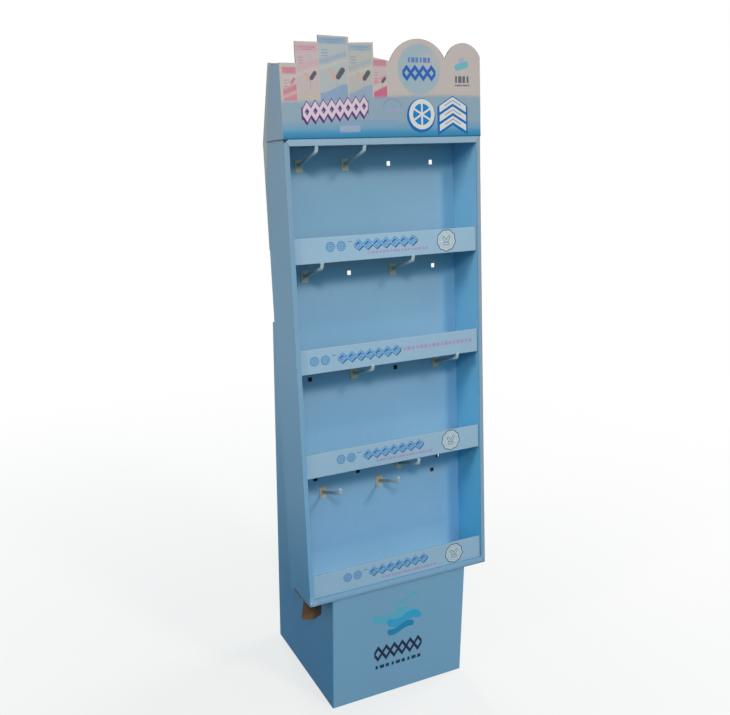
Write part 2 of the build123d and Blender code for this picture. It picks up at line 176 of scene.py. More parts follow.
class Surface:
    """One material: places on the stand, the colour laid on so far, and its relief."""

    def __init__(self, name, colour):
        self.material = bpy.data.materials.new(name)
        self.material.use_nodes = True
        self.tree = self.material.node_tree
        self.shader = self.tree.nodes["Principled BSDF"]
        self.colour = colour
        self.place = self.add("ShaderNodeTexCoord").outputs["Object"]
        self.normal = self.add("ShaderNodeNewGeometry").outputs["Normal"]
        split = self.add("ShaderNodeSeparateXYZ")
        feed(self.tree, self.place, split.inputs[0])
        self.x, self.y, self.z = (Number(self.tree, out) for out in split.outputs)
        self.along = self.dot(self.place, along_direction) - tray_front.dot(along_direction)
        self.back = self.dot(self.place, back_direction) - tray_front.dot(back_direction)

    def add(self, kind, **settings):
        node = self.tree.nodes.new(kind)
        for key, value in settings.items():
            setattr(node, key, value)
        return node

    def vector(self, operation, *values):
        node = self.add("ShaderNodeVectorMath", operation=operation)
        for entry, value in zip(node.inputs, values):
            feed(self.tree, value, entry)
        return node

    def dot(self, first, second):
        return Number(self.tree, self.vector("DOT_PRODUCT", first, second).outputs["Value"])

    def facing(self, direction, level=0.5):
        """1 on faces that look more or less this way."""
        return self.dot(self.normal, direction).above(level, 0.1)

    def facing_sideways(self):
        """1 on faces that look to the left or to the right."""
        return abs(self.dot(self.normal, Vector((1, 0, 0)))).above(0.5, 0.1)

    def noise(self, size, detail=2.0, stretch=(1, 1, 1)):
        """Cloudy noise from 0 to 1, with features of about this size in metres."""
        node = self.add("ShaderNodeTexNoise")
        node.inputs["Scale"].default_value = 1 / size
        node.inputs["Detail"].default_value = detail
        stretched = self.vector("MULTIPLY", self.place, stretch).outputs[0]
        feed(self.tree, stretched, node.inputs["Vector"])
        return Number(self.tree, node.outputs["Fac"])

    def mix(self, factor, first, second, kind="MIX"):
        node = self.add("ShaderNodeMix", data_type="RGBA", blend_type=kind)
        feed(self.tree, factor, node.inputs[mix_factor])
        feed(self.tree, first, node.inputs[mix_first])
        feed(self.tree, second, node.inputs[mix_second])
        return node.outputs[mix_result]

    def paint(self, colour, mask):
        """Lays a colour over what is there, where the mask is 1."""
        self.colour = self.mix(mask, self.colour, colour)

    def faded(self, high, low):
        """A colour that changes from the tray's foot to its head."""
        return self.mix(self.along.above(tray_length / 2, tray_length), low, high)

    def tone(self, factor):
        """Makes the colour lighter or darker by a factor that varies."""
        grey = self.add("ShaderNodeCombineXYZ")
        for entry in grey.inputs:
            feed(self.tree, factor, entry)
        self.colour = self.mix(1.0, self.colour, grey.outputs[0], kind="MULTIPLY")

    def spot(self, across, up):
        """A point on a printed plane, from which shapes are measured."""
        node = self.add("ShaderNodeCombineXYZ")
        feed(self.tree, across, node.inputs[0])
        feed(self.tree, up, node.inputs[1])
        return node.outputs[0]

    def shape(self, spot, centre, half=(0, 0), radius=0.0, turn=0.0):
        """Distance outside a round-ended bar: its middle, half its straight sides, its corner
        radius and its turn in degrees. Without sides it is a disc."""
        moved = self.vector("SUBTRACT", spot, (*centre, 0)).outputs[0]
        if turn:
            rotate = self.add("ShaderNodeVectorRotate", rotation_type="Z_AXIS")
            feed(self.tree, moved, rotate.inputs["Vector"])
            rotate.inputs["Angle"].default_value = math.radians(-turn)
            moved = rotate.outputs[0]
        if any(half):
            folded = self.vector("ABSOLUTE", moved).outputs[0]
            past = self.vector("SUBTRACT", folded, (*half, 0)).outputs[0]
            moved = self.vector("MAXIMUM", past, (0, 0, 0)).outputs[0]
        return Number(self.tree, self.vector("LENGTH", moved).outputs["Value"]) - radius

    def finish(self, roughness, height, specular=0.12):
        """Feeds the shader its colour, roughness and relief."""
        feed(self.tree, self.colour, self.shader.inputs["Base Color"])
        feed(self.tree, roughness, self.shader.inputs["Roughness"])
        self.shader.inputs["Specular IOR Level"].default_value = specular
        bump = self.add("ShaderNodeBump")
        bump.inputs["Distance"].default_value = 1.0
        feed(self.tree, height, bump.inputs["Height"])
        feed(self.tree, bump.outputs[0], self.shader.inputs["Normal"])
        return self.material


def dress(material, *names):
    """Gives a material to CAD nodes."""
    for name in names:
        slots = nodes[name].data.materials
        slots.clear()
        slots.append(material)


# Bare board, edges and the finish of printed board


def edge_wear(surface, reach, patchy=True):
    """1 along sharp edges and folds, broken up by noise where it is patchy."""
    rounded = surface.add("ShaderNodeBevel", samples=4)
    rounded.inputs["Radius"].default_value = reach
    bend = surface.dot(rounded.outputs[0], surface.normal).inverse().above(0.05, 0.08)
    if not patchy:
        return bend
    return bend * surface.noise(9 * mm, detail=4).above(0.52, 0.25)


def cut_edge(surface, depth, length):
    """Colour of a cut edge: wavy fluting between two liners, with painted shade in the hollows between
    them. depth runs across the board.
    """
    liner = 0.32 * mm
    blur = 0.12 * mm
    wave_height = board / 2 - 1.5 * liner
    middle = abs(depth - board / 2 - length.wave(flute_pitch) * wave_height)
    fluting = middle.below(liner / 2, blur)
    liners = abs(depth - board / 2).above(board / 2 - liner, blur)
    # the hollows between fluting and liners get painted shade
    return surface.mix(fluting.most(liners), kraft_dark_and_hollow_shade, kraft_brown)


def kraft_colour(surface):
    """Unprinted brown liner: fibres and soft clouds."""
    fibres = surface.noise(0.9 * mm, detail=3, stretch=(1, 1, 0.25))
    clouds = surface.noise(45 * mm, detail=3)
    return surface.mix(fibres * 0.45 + clouds * 0.35, kraft_brown, kraft_dark_and_hollow_shade)


def flute_ribs(surface):
    """The fluting that shows through: upright ribs on fronts and backs, and the like on sides."""
    side = surface.facing_sideways()
    across_flutes = surface.x + (surface.back - surface.x) * side
    return across_flutes.wave(flute_pitch)


def finish_board(surface, raw, raw_colour, wear=0.55, worn_colour=worn_white):
    """Print mottle, fluting that shows through, worn folds and raw faces; then the relief."""
    clouds = surface.noise(220 * mm, detail=2)
    mottle = surface.noise(14 * mm, detail=3)
    fibres = surface.noise(1.2 * mm, detail=3)
    ribs = flute_ribs(surface)
    surface.tone(clouds * 0.12 + mottle * 0.07 + fibres * 0.05 + ribs * 0.008 + 0.88)
    surface.paint(worn_colour, edge_wear(surface, 1.1 * mm) * wear)
    surface.paint(raw_colour, raw)
    roughness = mottle * 0.12 + 0.46 + raw * 0.35
    bow = surface.noise(160 * mm, detail=1) * (1.6 * mm)
    height = bow + ribs * (0.018 * mm) + fibres * (0.03 * mm) + mottle * (0.05 * mm)
    return surface.finish(roughness, height)


# Printed shapes


def outlined(surface, distance, fill, rim, width):
    """A filled shape with a rim."""
    blur = 0.35 * mm
    surface.paint(rim, distance.below(width, blur))
    surface.paint(fill, distance.below(0, blur))


def union(shapes):
    """Distance to the nearest of several shapes."""
    whole = shapes[0]
    for shape in shapes[1:]:
        whole = whole.least(shape)
    return whole


def braid(across, rise, left, right, height, pitch, stroke):
    """Distance to two crossing zigzags between two ends. rise is measured from their middle line."""
    ramp = (across - (left - pitch / 4)).math("PINGPONG", pitch / 2) * (2 * height / pitch)
    strand = ramp - height / 2
    slant = pitch / math.hypot(pitch, 2 * height)
    nearest = abs(rise - strand).least(abs(rise + strand)) * slant
    ends = abs(across - (left + right) / 2) - (right - left) / 2
    return (nearest - stroke).most(ends)


def chevrons(across, rise, middle, levels, half, stroke):
    """Distance to a stack of arrowheads that point up."""
    slope = 0.55
    slant = 0.876
    folded = rise + abs(across - middle) * slope
    arrows = union([abs(folded - level) * slant - stroke for level in levels])
    return arrows.most(abs(across - middle) - half)


def dash_row(surface, spot, left, right, level, height, count):
    """Distance to a row of short dashes of uneven length."""
    pitch = (right - left) / count
    corner = 0.9 * mm
    shares = (0.16, 0.36, 0.26)
    dashes = []
    for place in range(count):
        half = pitch * shares[place % 3]
        centre = (left + (place + 0.5) * pitch, level)
        dashes.append(surface.shape(spot, centre, (half, height / 2 - corner), corner))
    return union(dashes)


# The tray, its panel and shelves, and the base


def tray_wear_and_shade(surface):
    """Painted shade in the dark notch and along the foot's fold; the greyer and browner right fold, a
    darker brown foot edge and the crushed corner.
    """
    x, along, back = surface.x, surface.along, surface.back
    face = back.below(2 * mm, 1 * mm)

    # Painted shade: a dark notch at the left corner under the header, where a gap between the parts shows
    notch_height, slope = 7 * mm, 0.7
    notch = along - (tray_length - notch_height) - (x + half_tray) * slope
    left_front = x.below(0, 1 * mm) * back.below(6 * mm, 3 * mm)
    surface.paint(notch_shade, notch.above(0, 1 * mm) * left_front)

    # Grey beside the right fold, and worn brown along it, all the way at the foot
    surface.paint(worn_grey, x.above(half_tray - 6.5 * mm, 7 * mm) * face * 0.85)
    fold = x.above(half_tray - 1.6 * mm, 0.8 * mm) * face
    streaks = surface.noise(60 * mm, detail=3).above(0.35, 0.3)
    surface.paint(worn_brown, fold * streaks.most(along.below(140 * mm, 200 * mm)) * 0.75)

    # Painted shade makes the foot's fold darker, and its edge is a darker brown towards the right
    surface.paint(foot_fold_shade, along.below(4 * mm, 7 * mm) * face * 0.85)
    brown_foot_edge = along.below(2.2 * mm, 2 * mm) * x.above(205 * mm, 70 * mm) * face
    surface.paint(foot_edge_brown, brown_foot_edge * 0.7)

    # The lower left corner is crushed and pale
    corner = surface.shape(surface.spot(x, along), (-half_tray, 0), radius=16 * mm)
    crumbs = surface.noise(4 * mm, detail=4).above(0.54, 0.12)
    surface.paint(worn_white, corner.below(0, 10 * mm) * back.below(8 * mm, 4 * mm) * crumbs * 0.8)


def tray_tear(surface):
    """Paints shade around the rim of the tear in the left side, and gives the mask of the tear itself."""
    spot = surface.spot(surface.back, surface.along)
    line = surface.shape(spot, (69 * mm, 2.8 * mm), (29 * mm, 0.5 * mm), 0.6 * mm, turn=5.4)
    ragged = line + surface.noise(3 * mm, detail=4) * (5 * mm)
    on_side = surface.x.below(-half_tray + 6 * mm, 1 * mm)
    # painted shade around the tear
    surface.paint(tear_shade, ragged.below(6.5 * mm, 4 * mm) * on_side * 0.7)
    return ragged.below(3.4 * mm, 0.5 * mm) * on_side


def printed_tray():
    """Blue board with kraft showing at cut edges, in the tear and on the hanging flap."""
    surface = Surface("tray_print", blue_high)
    x, along, back = surface.x, surface.along, surface.back
    surface.colour = surface.faded(blue_high, blue_low)
    face = back.below(2 * mm, 1 * mm)

    # Painted reflected light makes the inner walls a cleaner blue, and painted shade makes the outer sides
    # deeper towards the foot
    within = abs(x).below(half_tray - 8 * mm, 1 * mm) * back.above(3.4 * mm, 0.4 * mm)
    within = within * back.below(tray_depth - 2 * mm, 0.4 * mm) * surface.facing_sideways()
    surface.paint(surface.faded(inner_reflected_high, inner_reflected_low), within)
    outer = abs(x).above(half_tray - 0.5 * mm, 0.4 * mm)
    # Painted shade: the outer sides a deeper blue towards the foot
    surface.paint(side_shade_blue, outer * along.below(110 * mm, 260 * mm))

    # Strips across the head, mitred at its ends, and across the foot
    head_height, foot_height = 22 * mm, 24 * mm
    strip = along.above(tray_length - head_height, 1 * mm) * face
    mitre = (along - abs(x)).above(tray_length - half_tray, 0.6 * mm)
    surface.paint(head_strip, strip * mitre)
    surface.paint(foot_strip, along.below(foot_height, 4 * mm) * face)

    # The print ends along a slant at the head of each side, and the grey liner shows behind it
    bare_width, slant = 26 * mm, 0.26
    print_end = back - (tray_depth - bare_width) + (along - tray_length) * slant
    bare = print_end.above(0, 1.2 * mm) * abs(x).above(half_tray - 1 * mm, 0.4 * mm)
    surface.paint(grey_liner, bare)

    # Wear and painted shade, then raw board: the flap under the foot, the rim's cut edge and the tear
    tray_wear_and_shade(surface)
    tear = tray_tear(surface)
    flap = along.below(-0.6 * mm, 0.4 * mm)
    rim_edge = back.above(tray_depth - 4 * mm, 0.2 * mm) * surface.facing(back_direction).inverse()
    rim_edge = rim_edge * abs(x).below(half_tray - 10 * mm, 1 * mm)
    brown = surface.mix(flap * 0.4, kraft_colour(surface), flap_brown)
    # Painted shadow darkens the flap's right part, under the tray's corner
    flap_shadow_mask = flap * x.above(-half_tray + 28 * mm, 14 * mm) * 0.7
    return finish_board(surface, flap.most(rim_edge).most(tear), surface.mix(flap_shadow_mask, brown, flap_shadow))


# Each rail: left end and level of its shapes; left, right, level and height of its dashes; middle,
# level and radius of its disc. Levels are above the rail's foot
rail_prints = (
    ((-164 * mm, 35 * mm), (-57 * mm, 103 * mm, 16 * mm, 6 * mm), (154 * mm, 30 * mm, 26 * mm)),
    ((-217 * mm, 29 * mm), (26 * mm, 223 * mm, 31 * mm, 9 * mm), None),
    ((-162 * mm, 34 * mm), (-57 * mm, 100 * mm, 14 * mm, 6 * mm), (155 * mm, 31 * mm, 26 * mm)),
    ((-159 * mm, 34 * mm), (-55 * mm, 104 * mm, 12 * mm, 6 * mm), (158 * mm, 28 * mm, 26 * mm)),
)


def paint_rail_shapes(surface, spot, left, level):
    """Two rings with a bead, a short bar, then a long braid with a bead in each eye."""
    dark, sky, violet = srgb(46, 58, 96), srgb(106, 162, 208), srgb(120, 110, 150)
    blur = 0.4 * mm
    rings = []
    for middle in (left + 13 * mm, left + 40 * mm):
        rings.append(abs(surface.shape(spot, (middle, level), radius=8.4 * mm)) - 1.7 * mm)
        rings.append(surface.shape(spot, (middle, level), radius=2.4 * mm))
    outlined(surface, union(rings), sky, dark, 0.9 * mm)
    bar = surface.shape(spot, (left + 62 * mm, level + 9 * mm), (5 * mm, 0), 0.9 * mm)
    surface.paint(violet, bar.below(0, blur))

    across = surface.x
    start, stop = left + 72 * mm, left + 237 * mm
    rise = surface.along - level - (across - start) * 0.012
    height, pitch = 19 * mm, 47.2 * mm
    drop = 1.2 * mm
    shade = braid(across - drop, rise + drop, start, stop, height, pitch, 2.2 * mm)
    surface.paint(dark, shade.below(0.6 * mm, 0.35 * mm))
    outlined(surface, braid(across, rise, start, stop, height, pitch, 1.9 * mm), sky, dark, 0.5 * mm)
    step = (across - (start - pitch / 4)).math("PINGPONG", pitch / 2)
    inside = abs(across - (start + stop) / 2).below((stop - start) / 2, blur)
    for middle in (0, pitch / 2):
        bead = surface.shape(surface.spot(step, rise), (middle, 0), radius=2.8 * mm)
        surface.paint(dark, bead.below(0.7 * mm, blur) * inside)
        surface.paint(sky, bead.below(0, blur) * inside)


def paint_badge(surface, spot, centre, radius):
    """A scalloped disc with a fine ring and three leaves."""
    offset = surface.add("ShaderNodeSeparateXYZ")
    from_centre = surface.vector("SUBTRACT", spot, (*centre, 0)).outputs[0]
    feed(surface.tree, from_centre, offset.inputs[0])
    east, north = (Number(surface.tree, out) for out in offset.outputs[:2])
    scallops = 9
    scallop = (north.math("ARCTAN2", east) * scallops).math("SINE") * (0.9 * mm)
    disc = surface.shape(spot, centre, radius=radius - 2 * mm)
    outlined(surface, disc + scallop, srgb(182, 190, 196), srgb(50, 60, 86), 1.9 * mm)
    leaves = []
    for shift, lift, turn in ((-4.5 * mm, 2 * mm, 125), (5 * mm, 3 * mm, 55), (0, -8 * mm, 0)):
        place = (centre[0] + shift, centre[1] + lift)
        leaves.append(surface.shape(spot, place, (5 * mm, 0), 3 * mm, turn=turn))
    outline = abs(union(leaves)) - 1.0 * mm
    surface.paint(srgb(110, 130, 144), outline.below(0, crisp))
    ring = abs(surface.shape(spot, centre, radius=radius - 8 * mm)) - 0.5 * mm
    surface.paint(srgb(146, 158, 168), ring.below(0, crisp))


def printed_shelf(number, shapes, dashes, badge):
    """Pale rail with a row of plain shapes; blue floor and ears behind it, kraft underneath."""
    surface = Surface(f"shelf_print_{number}", rail_ink)
    spot = surface.spot(surface.x, surface.along)
    foot = rail_tops[number - 1] - rail_height
    left, level = shapes
    paint_rail_shapes(surface, spot, left, foot + level)
    left, right, level, height = dashes
    pink = dash_row(surface, spot, left, right, foot + level, height, 17)
    surface.paint(srgb(168, 130, 168), pink.below(0, 0.6 * mm) * 0.75)
    if badge:
        middle, level, radius = badge
        paint_badge(surface, spot, (middle, foot + level), radius)

    on_rail = surface.back.below(rail_recess + rail_thickness, crisp)
    behind = on_rail.inverse()
    surface.paint(surface.faded(panel_high, panel_low), behind)
    # Painted reflected light: the ears take the inner walls' bluer colour
    ears = behind * abs(surface.x).above(half_tray - 15 * mm, 1 * mm)
    surface.paint(surface.faded(inner_reflected_high, inner_reflected_low), ears)
    under = surface.facing(-along_direction) * behind
    ends = surface.facing_sideways() * on_rail
    return finish_board(surface, under.most(ends), kraft_colour(surface))


def printed_panel():
    """Blue face, kraft behind and in the square holes."""
    surface = Surface("peg_panel_print", panel_high)
    surface.colour = surface.faded(panel_high, panel_low)

    # Painted light: paler towards the foot of each bay, most of all in the lowest, as light thrown up
    # from the shelf would make it. The camera sees each bay's foot this far below the rail's top
    sight_drops = (6 * mm, 19 * mm, 32 * mm, 47 * mm)
    strengths = (0.08, 0.36, 0.62, 1.0)
    fade = 68 * mm
    floor_drop = 50 * mm
    for top, drop, strength in zip(rail_tops, sight_drops, strengths):
        above_floor = surface.along.above(top - floor_drop, 4 * mm)
        foot = surface.along.below(top - drop + fade / 2, fade) * above_floor
        surface.paint(panel_foot_light, foot * strength)

    # Painted reflected light: bluer beside the right wall, which throws its colour on it
    wall_reflection = surface.x.above(200 * mm, 44 * mm) * 0.75
    surface.paint(surface.faded(wall_reflection_high, wall_reflection_low), wall_reflection)

    raw = surface.facing(-back_direction).inverse()
    edge = cut_edge(surface, surface.back - peg_depth, surface.x)
    behind = surface.back.above(peg_depth + board - 0.2 * mm, 0.2 * mm)
    return finish_board(surface, raw, surface.mix(behind, edge, kraft_colour(surface)), wear=0.3)


# Waves on the base: level, middle, half thickness, half length and ink
base_waves = (
    (262 * mm, 18 * mm, 7 * mm, 26 * mm, srgb(102, 166, 188)),
    (222 * mm, -16 * mm, 13 * mm, 52 * mm, srgb(92, 168, 190)),
    (206 * mm, 12 * mm, 12 * mm, 38 * mm, srgb(52, 154, 196)),
    (182 * mm, 2 * mm, 9 * mm, 30 * mm, srgb(20, 124, 168)),
)


def printed_base():
    """Blue wrap with waves, a braid and dashes on its front; kraft inside and at cut edges."""
    surface = Surface("base_print", base_blue)
    x, z = surface.x, surface.z
    front = surface.y.below(base_front + 1.5 * mm, 0.5 * mm)
    # Painted shade: the sides darker and deeper blue towards the floor
    surface.paint(side_shade_blue, surface.facing_sideways() * z.below(420 * mm, 560 * mm))
    for level, middle, thickness, half, colour in base_waves:
        swell = (x - middle).wave(92 * mm) * (7 * mm)
        band = surface.shape(surface.spot(x, z - swell), (middle, level), (half, 0), thickness)
        surface.paint(colour, band.below(0, 1.0 * mm) * front * 0.9)

    left, right = -74 * mm, 66 * mm
    ribbon = braid(x, z - 122 * mm, left, right, 34 * mm, 46.6 * mm, 3.6 * mm)
    surface.paint(srgb(34, 44, 68), ribbon.below(0, crisp) * front)
    dashes = dash_row(surface, surface.spot(x, z), left, right, 82 * mm, 10 * mm, 9)
    surface.paint(srgb(38, 56, 86), dashes.below(0, crisp) * front)

    # Raw on top and inside the wrap
    blur = 0.2 * mm
    inner_half, inner_front, inner_rear = 186.8 * mm, base_front + 2.6 * mm, 182.4 * mm
    inside = abs(x).below(inner_half, blur) * surface.y.above(inner_front, blur)
    inside = inside * surface.y.below(inner_rear, blur)
    top = surface.facing(Vector((0, 0, 1)))
    return finish_board(surface, top.most(inside), kraft_colour(surface))


# The header

# Fields of the stepped left half: left, right and top in mm; then ground, head, foot, line and leaf
field_foot = 1165 * mm
rose = srgb(192, 100, 120)
slate = srgb(70, 66, 78)
cream = srgb(186, 178, 160)
pink_line = srgb(168, 122, 140)
blue_line = srgb(108, 138, 168)
header_fields = (
    (-247, -213, 1237, srgb(184, 168, 168), rose, srgb(192, 114, 132), pink_line, rose),
    (-214, -161, 1284, srgb(184, 162, 164), srgb(192, 144, 154), srgb(180, 164, 156), pink_line, slate),
    (-161, -92, 1300, srgb(166, 166, 168), srgb(124, 144, 168), srgb(122, 144, 172), blue_line, slate),
    (-92, -31, 1287, srgb(170, 163, 158), srgb(140, 152, 166), srgb(130, 148, 170), blue_line, slate),
    (-31, 5, 1256, srgb(185, 160, 163), srgb(188, 104, 122), srgb(186, 76, 114), pink_line, slate),
)

# Inks of the large shapes on the band
shape_white = srgb(204, 199, 196)
shade_blue = srgb(26, 96, 158)


def paint_sprout(surface, spot, inside, middle, level, size, leaf):
    """A stem with a sand-coloured leaf on its left and another leaf on its right."""
    stem = surface.shape(spot, (middle, level - size * 0.8), (size * 0.8, 0), 1.0 * mm, turn=90)
    surface.paint(srgb(150, 156, 150), stem.below(0, crisp) * inside)
    centre = (middle - size * 0.7, level + size * 0.6)
    sand = surface.shape(spot, centre, (size * 0.5, 0), size * 0.4, turn=130)
    surface.paint(srgb(186, 156, 146), sand.below(0, 1 * mm) * inside)
    centre = (middle + size * 0.6, level + size * 0.8)
    right = surface.shape(spot, centre, (size * 0.6, 0), size * 0.4, turn=52)
    surface.paint(leaf, right.below(0, 1 * mm) * inside * 0.9)


def paint_fields(surface, spot):
    """Upright fields: a ground, a tinted head and foot, a crest, fine lines and a sprout."""
    up = surface.along
    for left, right, top, ground, head, foot, line, leaf in header_fields:
        middle, half = (left + right) / 2 * mm, (right - left) / 2 * mm
        top *= mm
        across = surface.x - middle
        inside = abs(across).below(half - 1.5 * mm, crisp) * up.above(field_foot, crisp)
        inside = inside * up.below(top - 3.5 * mm, crisp)
        surface.paint(ground, inside)
        surface.paint(head, inside * up.above(top - 17 * mm, 5 * mm) * 0.75)
        fine = []
        for drop, share in ((9 * mm, 0.66), (14 * mm, 0.40)):
            fine.append(surface.shape(spot, (middle, top - drop), (half * share, 0), 1.1 * mm))
        for drop in (30 * mm, 36 * mm, 42 * mm):
            centre = (middle - half * 0.55, top - drop)
            fine.append(surface.shape(spot, centre, (half * 0.2, 0), 1.0 * mm))
        surface.paint(line, union(fine).below(0, crisp) * inside * 0.8)
        slope = (up - (field_foot + 26 * mm)) - across.wave(120 * mm) * (9 * mm)
        surface.paint(foot, inside * slope.below(0, 2 * mm) * 0.85)
        crest = (up - (top - 46 * mm)) - across.wave(150 * mm) * (8 * mm)
        surface.paint(head, inside * (abs(crest) - 5 * mm).below(0, 6 * mm) * 0.5)
        surface.paint(cream, inside * (abs(crest + 13 * mm) - 3 * mm).below(0, 5 * mm) * 0.6)
        level = field_foot + 24 * mm + (top - field_foot) * 0.16
        paint_sprout(surface, spot, inside, middle + half * 0.22, level, half * 0.42, leaf)


def paint_band(surface, spot):
    """Blue band: even above, deep along its lower edge, with one pale patch."""
    across, up = surface.x, surface.along
    swell = (across + 60 * mm).wave(520 * mm) * (3 * mm)
    rise = 12 * mm
    band_top = (up - 1166 * mm) - (across + half_tray) * (rise / (2 * half_tray)) - swell
    band = surface.mix(up.below(1111 * mm, 26 * mm), band_light, band_mid)
    band = surface.mix(up.below(1095 * mm, 22 * mm), band, band_deep)
    surface.paint(band, band_top.below(0, 8 * mm))
    pale = surface.shape(spot, (-92 * mm, 1106 * mm), (22 * mm, 4 * mm), 3 * mm)
    surface.paint(srgb(158, 160, 182), pale.below(0, 3 * mm) * 0.7)


def paint_domes(surface, spot):
    """A pale disc with dashes over a braid, then two small waves over dark dashes."""
    across, up = surface.x, surface.along
    disc = surface.shape(spot, (87 * mm, 1234 * mm), radius=55 * mm).below(0, 5 * mm)
    surface.paint(srgb(150, 162, 170), disc)
    glow = surface.shape(spot, (118 * mm, 1246 * mm), radius=24 * mm).below(0, 34 * mm)
    surface.paint(srgb(176, 166, 164), glow * disc * 0.8)
    dashes = dash_row(surface, spot, 56 * mm, 118 * mm, 1254 * mm, 11 * mm, 6)
    surface.paint(srgb(86, 118, 168), dashes.below(0, 0.8 * mm))
    ribbon = braid(across, up - 1226 * mm, 44 * mm, 130 * mm, 25 * mm, 43 * mm, 3.4 * mm)
    outlined(surface, ribbon, srgb(48, 88, 156), srgb(128, 158, 190), 1.2 * mm)

    middle = 200 * mm
    waves = (
        (1256 * mm, 3 * mm, 4.5 * mm, srgb(150, 156, 186)),
        (1243 * mm, 11 * mm, 8 * mm, srgb(94, 164, 176)),
    )
    bend = (across - middle).wave(52 * mm) * (3 * mm)
    for level, half, thickness, colour in waves:
        bar = surface.shape(surface.spot(across, up - bend), (middle, level), (half, 0), thickness)
        surface.paint(colour, bar.below(0, 1.5 * mm) * 0.9)
    dark = dash_row(surface, spot, 180 * mm, 222 * mm, 1213 * mm, 15 * mm, 4)
    dark = dark.least(dash_row(surface, spot, 180 * mm, 223 * mm, 1200 * mm, 3.4 * mm, 7))
    surface.paint(srgb(78, 80, 88), dark.below(0, 0.8 * mm) * 0.9)


def paint_header_braid(surface):
    """A white braid with a violet rim and shadow, rising to the right."""
    across, up = surface.x, surface.along
    left, right, height, pitch = -203 * mm, -46 * mm, 29 * mm, 39.25 * mm
    rise = up - 1148 * mm - (across + 124 * mm) * 0.085
    shade = braid(across + 1.5 * mm, rise + 3 * mm, left, right, height, pitch, 4.0 * mm)
    surface.paint(srgb(84, 52, 104), shade.below(2.2 * mm, crisp))
    ribbon = braid(across, rise, left, right, height, pitch, 3.6 * mm)
    outlined(surface, ribbon, srgb(204, 180, 190), srgb(108, 66, 128), 1.8 * mm)


def paint_wheel(surface, spot):
    """A large white wheel on a blue disc."""
    centre = (92 * mm, 1136 * mm)
    shade = surface.shape(spot, (90 * mm, 1133 * mm), radius=37.5 * mm)
    surface.paint(shade_blue, shade.below(0, crisp))
    disc = surface.shape(spot, centre, radius=34 * mm)
    surface.paint(srgb(20, 118, 184), disc.below(0, crisp))
    wheel = [abs(surface.shape(spot, centre, radius=28.5 * mm)) - 5 * mm]
    for turn in (30, 90, 150):
        wheel.append(surface.shape(spot, centre, (27 * mm, 0), 2.4 * mm, turn=turn))
    outlined(surface, union(wheel), shape_white, srgb(24, 84, 146), 1.0 * mm)


def paint_arrowheads(surface):
    """A stack of white arrowheads with a blue rim, a shadow and fine lines."""
    across = surface.x
    rise = surface.along - 1137 * mm
    middle, stroke = 175 * mm, 6.4 * mm
    levels = (-12 * mm, 9 * mm, 30 * mm)
    shade = chevrons(across + 1 * mm, rise + 3 * mm, middle, levels, 38 * mm, stroke)
    surface.paint(shade_blue, shade.below(3.2 * mm, crisp))
    arrows = chevrons(across, rise, middle, levels, 36 * mm, stroke)
    outlined(surface, arrows, shape_white, srgb(24, 96, 160), 2.4 * mm)
    fine = chevrons(across, rise, middle, levels, 22 * mm, 0.7 * mm)
    surface.paint(srgb(58, 82, 128), fine.below(0, crisp))


def paint_small_marks(surface, spot):
    """An arc over a few dashes, and a faint row of dashes."""
    blur = 0.8 * mm
    arc = abs(surface.shape(spot, (16 * mm, 1146 * mm), radius=24 * mm)) - 0.8 * mm
    surface.paint(srgb(128, 122, 164), arc.below(0, crisp) * surface.along.above(1150 * mm, crisp))
    marks = dash_row(surface, spot, -2 * mm, 34 * mm, 1146 * mm, 9 * mm, 5)
    surface.paint(srgb(152, 146, 184), marks.below(0, blur) * 0.8)
    faint = dash_row(surface, spot, -92 * mm, 32 * mm, 1122 * mm, 5 * mm, 19)
    surface.paint(srgb(122, 140, 172), faint.below(0, blur) * 0.8)


def printed_header():
    """White card over a blue band, with plain fields, sprouts, a wheel and arrowheads; blue wings."""
    surface = Surface("header_print", white_ink)
    up, back = surface.along, surface.back
    spot = surface.spot(surface.x, up)
    paint_fields(surface, spot)
    paint_band(surface, spot)
    paint_domes(surface, spot)
    paint_header_braid(surface)
    paint_wheel(surface, spot)
    paint_arrowheads(surface)
    paint_small_marks(surface, spot)

    # Painted shade: a dark line along the foot, where the header meets the tray; blue wings
    on_front = back.below(0.4 * mm, 0.2 * mm)
    off_front = on_front.inverse()
    surface.paint(srgb(24, 66, 98), up.below(tray_length + 2.4 * mm, 1.2 * mm) * 0.8)
    surface.paint(wing_blue, off_front)
    # painted shade along the foot of the wings, at the seam with the tray
    seam_shade = off_front * up.below(tray_length + 2 * mm, 1.5 * mm)
    surface.paint(srgb(44, 58, 74), seam_shade * 0.8)

    # Raw behind, and at the cut edges of the outline
    wing = abs(surface.x).above(half_tray + header_overhang - 0.5 * mm, 0.2 * mm)
    raw = wing.most(on_front).inverse()
    above_wing = up.above(tray_length + wing_height, 0.5 * mm)
    edge_face = surface.facing(-back_direction).inverse() * back.below(board, 0.2 * mm)
    cut = above_wing.most(surface.facing(along_direction, 0.3)).most(wing.inverse())
    raw = raw.most(edge_face * cut)
    edge = cut_edge(surface, back, surface.x)
    raw_colour = surface.mix(surface.facing(back_direction), edge, kraft_colour(surface))
    surface.paint(worn_brown, edge_wear(surface, 1.5 * mm, patchy=False) * 0.65)
    return finish_board(surface, raw, raw_colour, wear=0.35, worn_colour=worn_brown)


# Plain board and plastic


def grey_board():
    """Unprinted grey liner: pale flecks, fibres and soft clouds."""
    surface = Surface("grey_liner", grey_liner)
    fibres = surface.noise(1.0 * mm, detail=4)
    flecks = surface.noise(2.2 * mm, detail=1).above(0.68, 0.06)
    clouds = surface.noise(60 * mm, detail=3)
    surface.tone(fibres * 0.16 + clouds * 0.16 + 0.84)
    surface.paint(grey_fleck, flecks * 0.5)
    return surface.finish(0.85, fibres * (0.06 * mm) + clouds * (0.6 * mm), specular=0.15)


